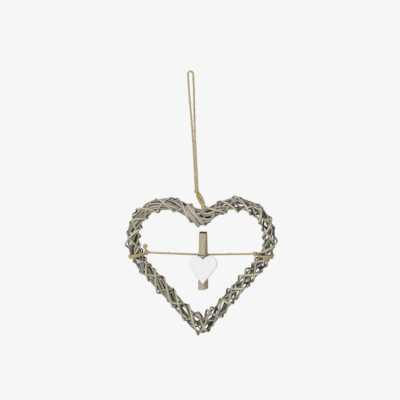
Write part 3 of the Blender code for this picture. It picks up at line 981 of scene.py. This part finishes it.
def tie_route(s, leans):
    """Turns of twine round one flank from its knot, each leaning towards the cleft at the outer edge."""
    total = len(leans) * TIE_TURN_STEPS
    points = []
    for k in range(1, total):
        angle = math.pi - 2 * math.pi * k / TIE_TURN_STEPS
        lean = leans[k // TIE_TURN_STEPS] * (1 + math.cos(angle)) / 2
        spread = TIE_SPREAD * (k / total - 0.5)
        place = s + spread - math.copysign(lean, s)
        points.append(at(place, TIE_RADIUS * math.cos(angle), TIE_RADIUS * math.sin(angle)))
    return points


def tail_route(knot):
    """Short end of the twine that stands up from a knot and curls over."""
    return [knot + Vector((x, -TAIL_FORWARD, z)) for x, z in TAIL_POINTS]


PEG_PLACE = Matrix.Translation((PEG_X, 0.0, LOBE_Z - PEG_DROP)) @ Matrix.Rotation(PEG_YAW, 4, "Z")


def make_twine():
    jute = fibre_material("jute", JUTE_LOOK)

    def twined(name, node, seed, route, radius=TWINE_RADIUS, tail=None):
        """One piece of twine, with or without a frayed tail; gives it and its route's centre line."""
        skin = Skin()
        line = rope(skin, route, seed, radius)
        if tail:
            rope(skin, tail, seed + TAIL_SEED_STEP, TAIL_RADIUS)
        return dress(skin.make(name, jute), [node]), line

    middle = Vector((loop_x(HANG_KNOT_Z, 0), 0.0, HANG_KNOT_Z))
    loop, loop_line = twined("hanging_loop", "hanging_twine", LOOP_SEED, loop_route())
    hang_knot, _ = twined("hanging_loop_knot", "hanging_knot", HANG_KNOT_SEED,
                          knot_route(middle, HANG_KNOT_SIZE, HANG_KNOT_TURN), HANG_KNOT_TWINE_RADIUS)
    cleft_tie, _ = twined("cleft_eye", "cleft_wrap", EYE_SEED, eye_route(middle), EYE_TWINE_RADIUS)

    knots = []
    for name, s, leans, seed in (("left", LEFT_TIE_S, LEFT_TIE_LEANS, LEFT_TIE_SEED),
                                 ("right", RIGHT_TIE_S, RIGHT_TIE_LEANS, RIGHT_TIE_SEED)):
        centre = at(s, -STRIPS_OUTER_RADIUS - GAP - TIE_KNOT_RADIUS, 0.0)
        wrap, _ = twined(f"{name}_tie", f"{name}_wrap", seed, tie_route(s, leans))
        knot, _ = twined(f"{name}_tie_knot", f"{name}_knot", seed + 1,
                         knot_route(centre, TIE_KNOT_SIZE, TIE_KNOT_TURN),
                         tail=tail_route(centre) if name == "left" else None)
        knots.append((centre, wrap, knot))

    coil_end = PEG_WIDTH / 2 + TWINE_BESIDE_COIL
    left_in = PEG_PLACE @ Vector((-coil_end, 0.0, 0.0))
    right_in = PEG_PLACE @ Vector((coil_end, 0.0, 0.0))
    start, end = (centre + (inner - centre).normalized() * TIE_KNOT_RADIUS
                  for (centre, _, _), inner in zip(knots, (left_in, right_in)))
    straight = [start.lerp(left_in, k / CROSS_STEPS) for k in range(CROSS_STEPS)]
    straight += [left_in, left_in.lerp(right_in, 0.5), right_in]
    straight += [right_in.lerp(end, k / CROSS_STEPS) for k in range(1, CROSS_STEPS + 1)]
    cross, cross_line = twined("cross_line", "cross_twine", CROSS_SEED, straight)

    run_lengths(loop_line)[-1]
    run_lengths(cross_line)[-1]


# Peg, spring and white heart

def bevelled(node, name, finish, width):
    """Copy of a CAD solid with its edges softened."""
    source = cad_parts[node]
    mesh = source.data.copy()
    mesh.name = name
    mesh.materials.clear()
    mesh.materials.append(finish)
    shape = bmesh.new()
    shape.from_mesh(mesh)
    bmesh.ops.remove_doubles(shape, verts=shape.verts, dist=SAME_PLACE)
    bmesh.ops.dissolve_limit(shape, angle_limit=SAME_PLANE, verts=shape.verts, edges=shape.edges)
    sharp = [edge for edge in shape.edges
             if len(edge.link_faces) == 2 and edge.calc_face_angle() > SHARP_ANGLE]
    bmesh.ops.bevel(shape, geom=sharp, offset=width, segments=BEVEL_SEGMENTS, affect="EDGES",
                    clamp_overlap=True)
    largest = max(face.calc_area() for face in shape.faces)
    for face in shape.faces:
        face.smooth = face.calc_area() < FLAT_SHARE * largest
    shape.to_mesh(mesh)
    shape.free()
    made = bpy.data.objects.new(name, mesh)
    bpy.context.scene.collection.objects.link(made)
    return made


def spring_route():
    """Centre line of the wire: an arm over one half of the peg, the coil, an arm over the other half."""
    beside = PEG_WIDTH / 2 + WIRE_RADIUS + GAP
    coil = []
    for k in range(1, COIL_STEPS):
        t = k / COIL_STEPS
        angle = -math.pi / 2 - 2 * math.pi * (COIL_TURNS + 0.5) * t
        coil.append(Vector((-beside + 2 * beside * t, COIL_RADIUS * math.sin(angle),
                            COIL_RADIUS * math.cos(angle))))

    def arm(side):
        x = side * beside
        return [Vector(place) for place in (
            (x, side * COIL_RADIUS, 0.0), (x, side * (COIL_RADIUS + ARM_REST) / 2, ARM_NOTCH_Z / 2),
            (x, side * (ARM_REST - ARM_BEND_DEPTH), ARM_NOTCH_Z),
            (x - side * ARM_BEND_WIDTH, side * ARM_REST, ARM_NOTCH_Z),
            (side * PEG_WIDTH * ARM_BEND_SHARE, side * ARM_REST, ARM_NOTCH_Z),
            (-side * PEG_WIDTH * ARM_END_SHARE, side * ARM_REST, ARM_NOTCH_Z))]

    return [PEG_PLACE @ point for point in [*reversed(arm(-1)), *coil, *arm(1)]]


def make_peg():
    jaws_end = LOBE_Z - PEG_DROP + JAW_LENGTH
    # The jaws' ends get painted shade
    wood = grain_material("peg_beech", shade_above=jaws_end - JAW_END_SHADE_LENGTH)
    paint = grain_material("heart_paint")
    steel = grain_material("spring_wire", metallic=1.0)
    for node, body in (("peg_front", "wreath"), ("peg_back", "peg_back")):
        dress(bevelled(node, f"{node}_wood", wood, PEG_BEVEL), [node], body)
    dress(bevelled("white_heart", "white_heart_painted", paint, WHITE_BEVEL), ["white_heart"])

    skin = Skin()
    tube(skin, resampled(spring_route(), SPRING_STEP), WIRE_RADIUS, SPRING_SIDES)
    spring = skin.make("spring", steel)
    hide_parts("peg_spring")
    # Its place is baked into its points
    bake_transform(spring)


bpy.context.scene.view_settings.view_transform = "Standard"
add_camera()
add_lights()
add_surround()
add_floor()
make_wreath()
make_twine()
make_peg()
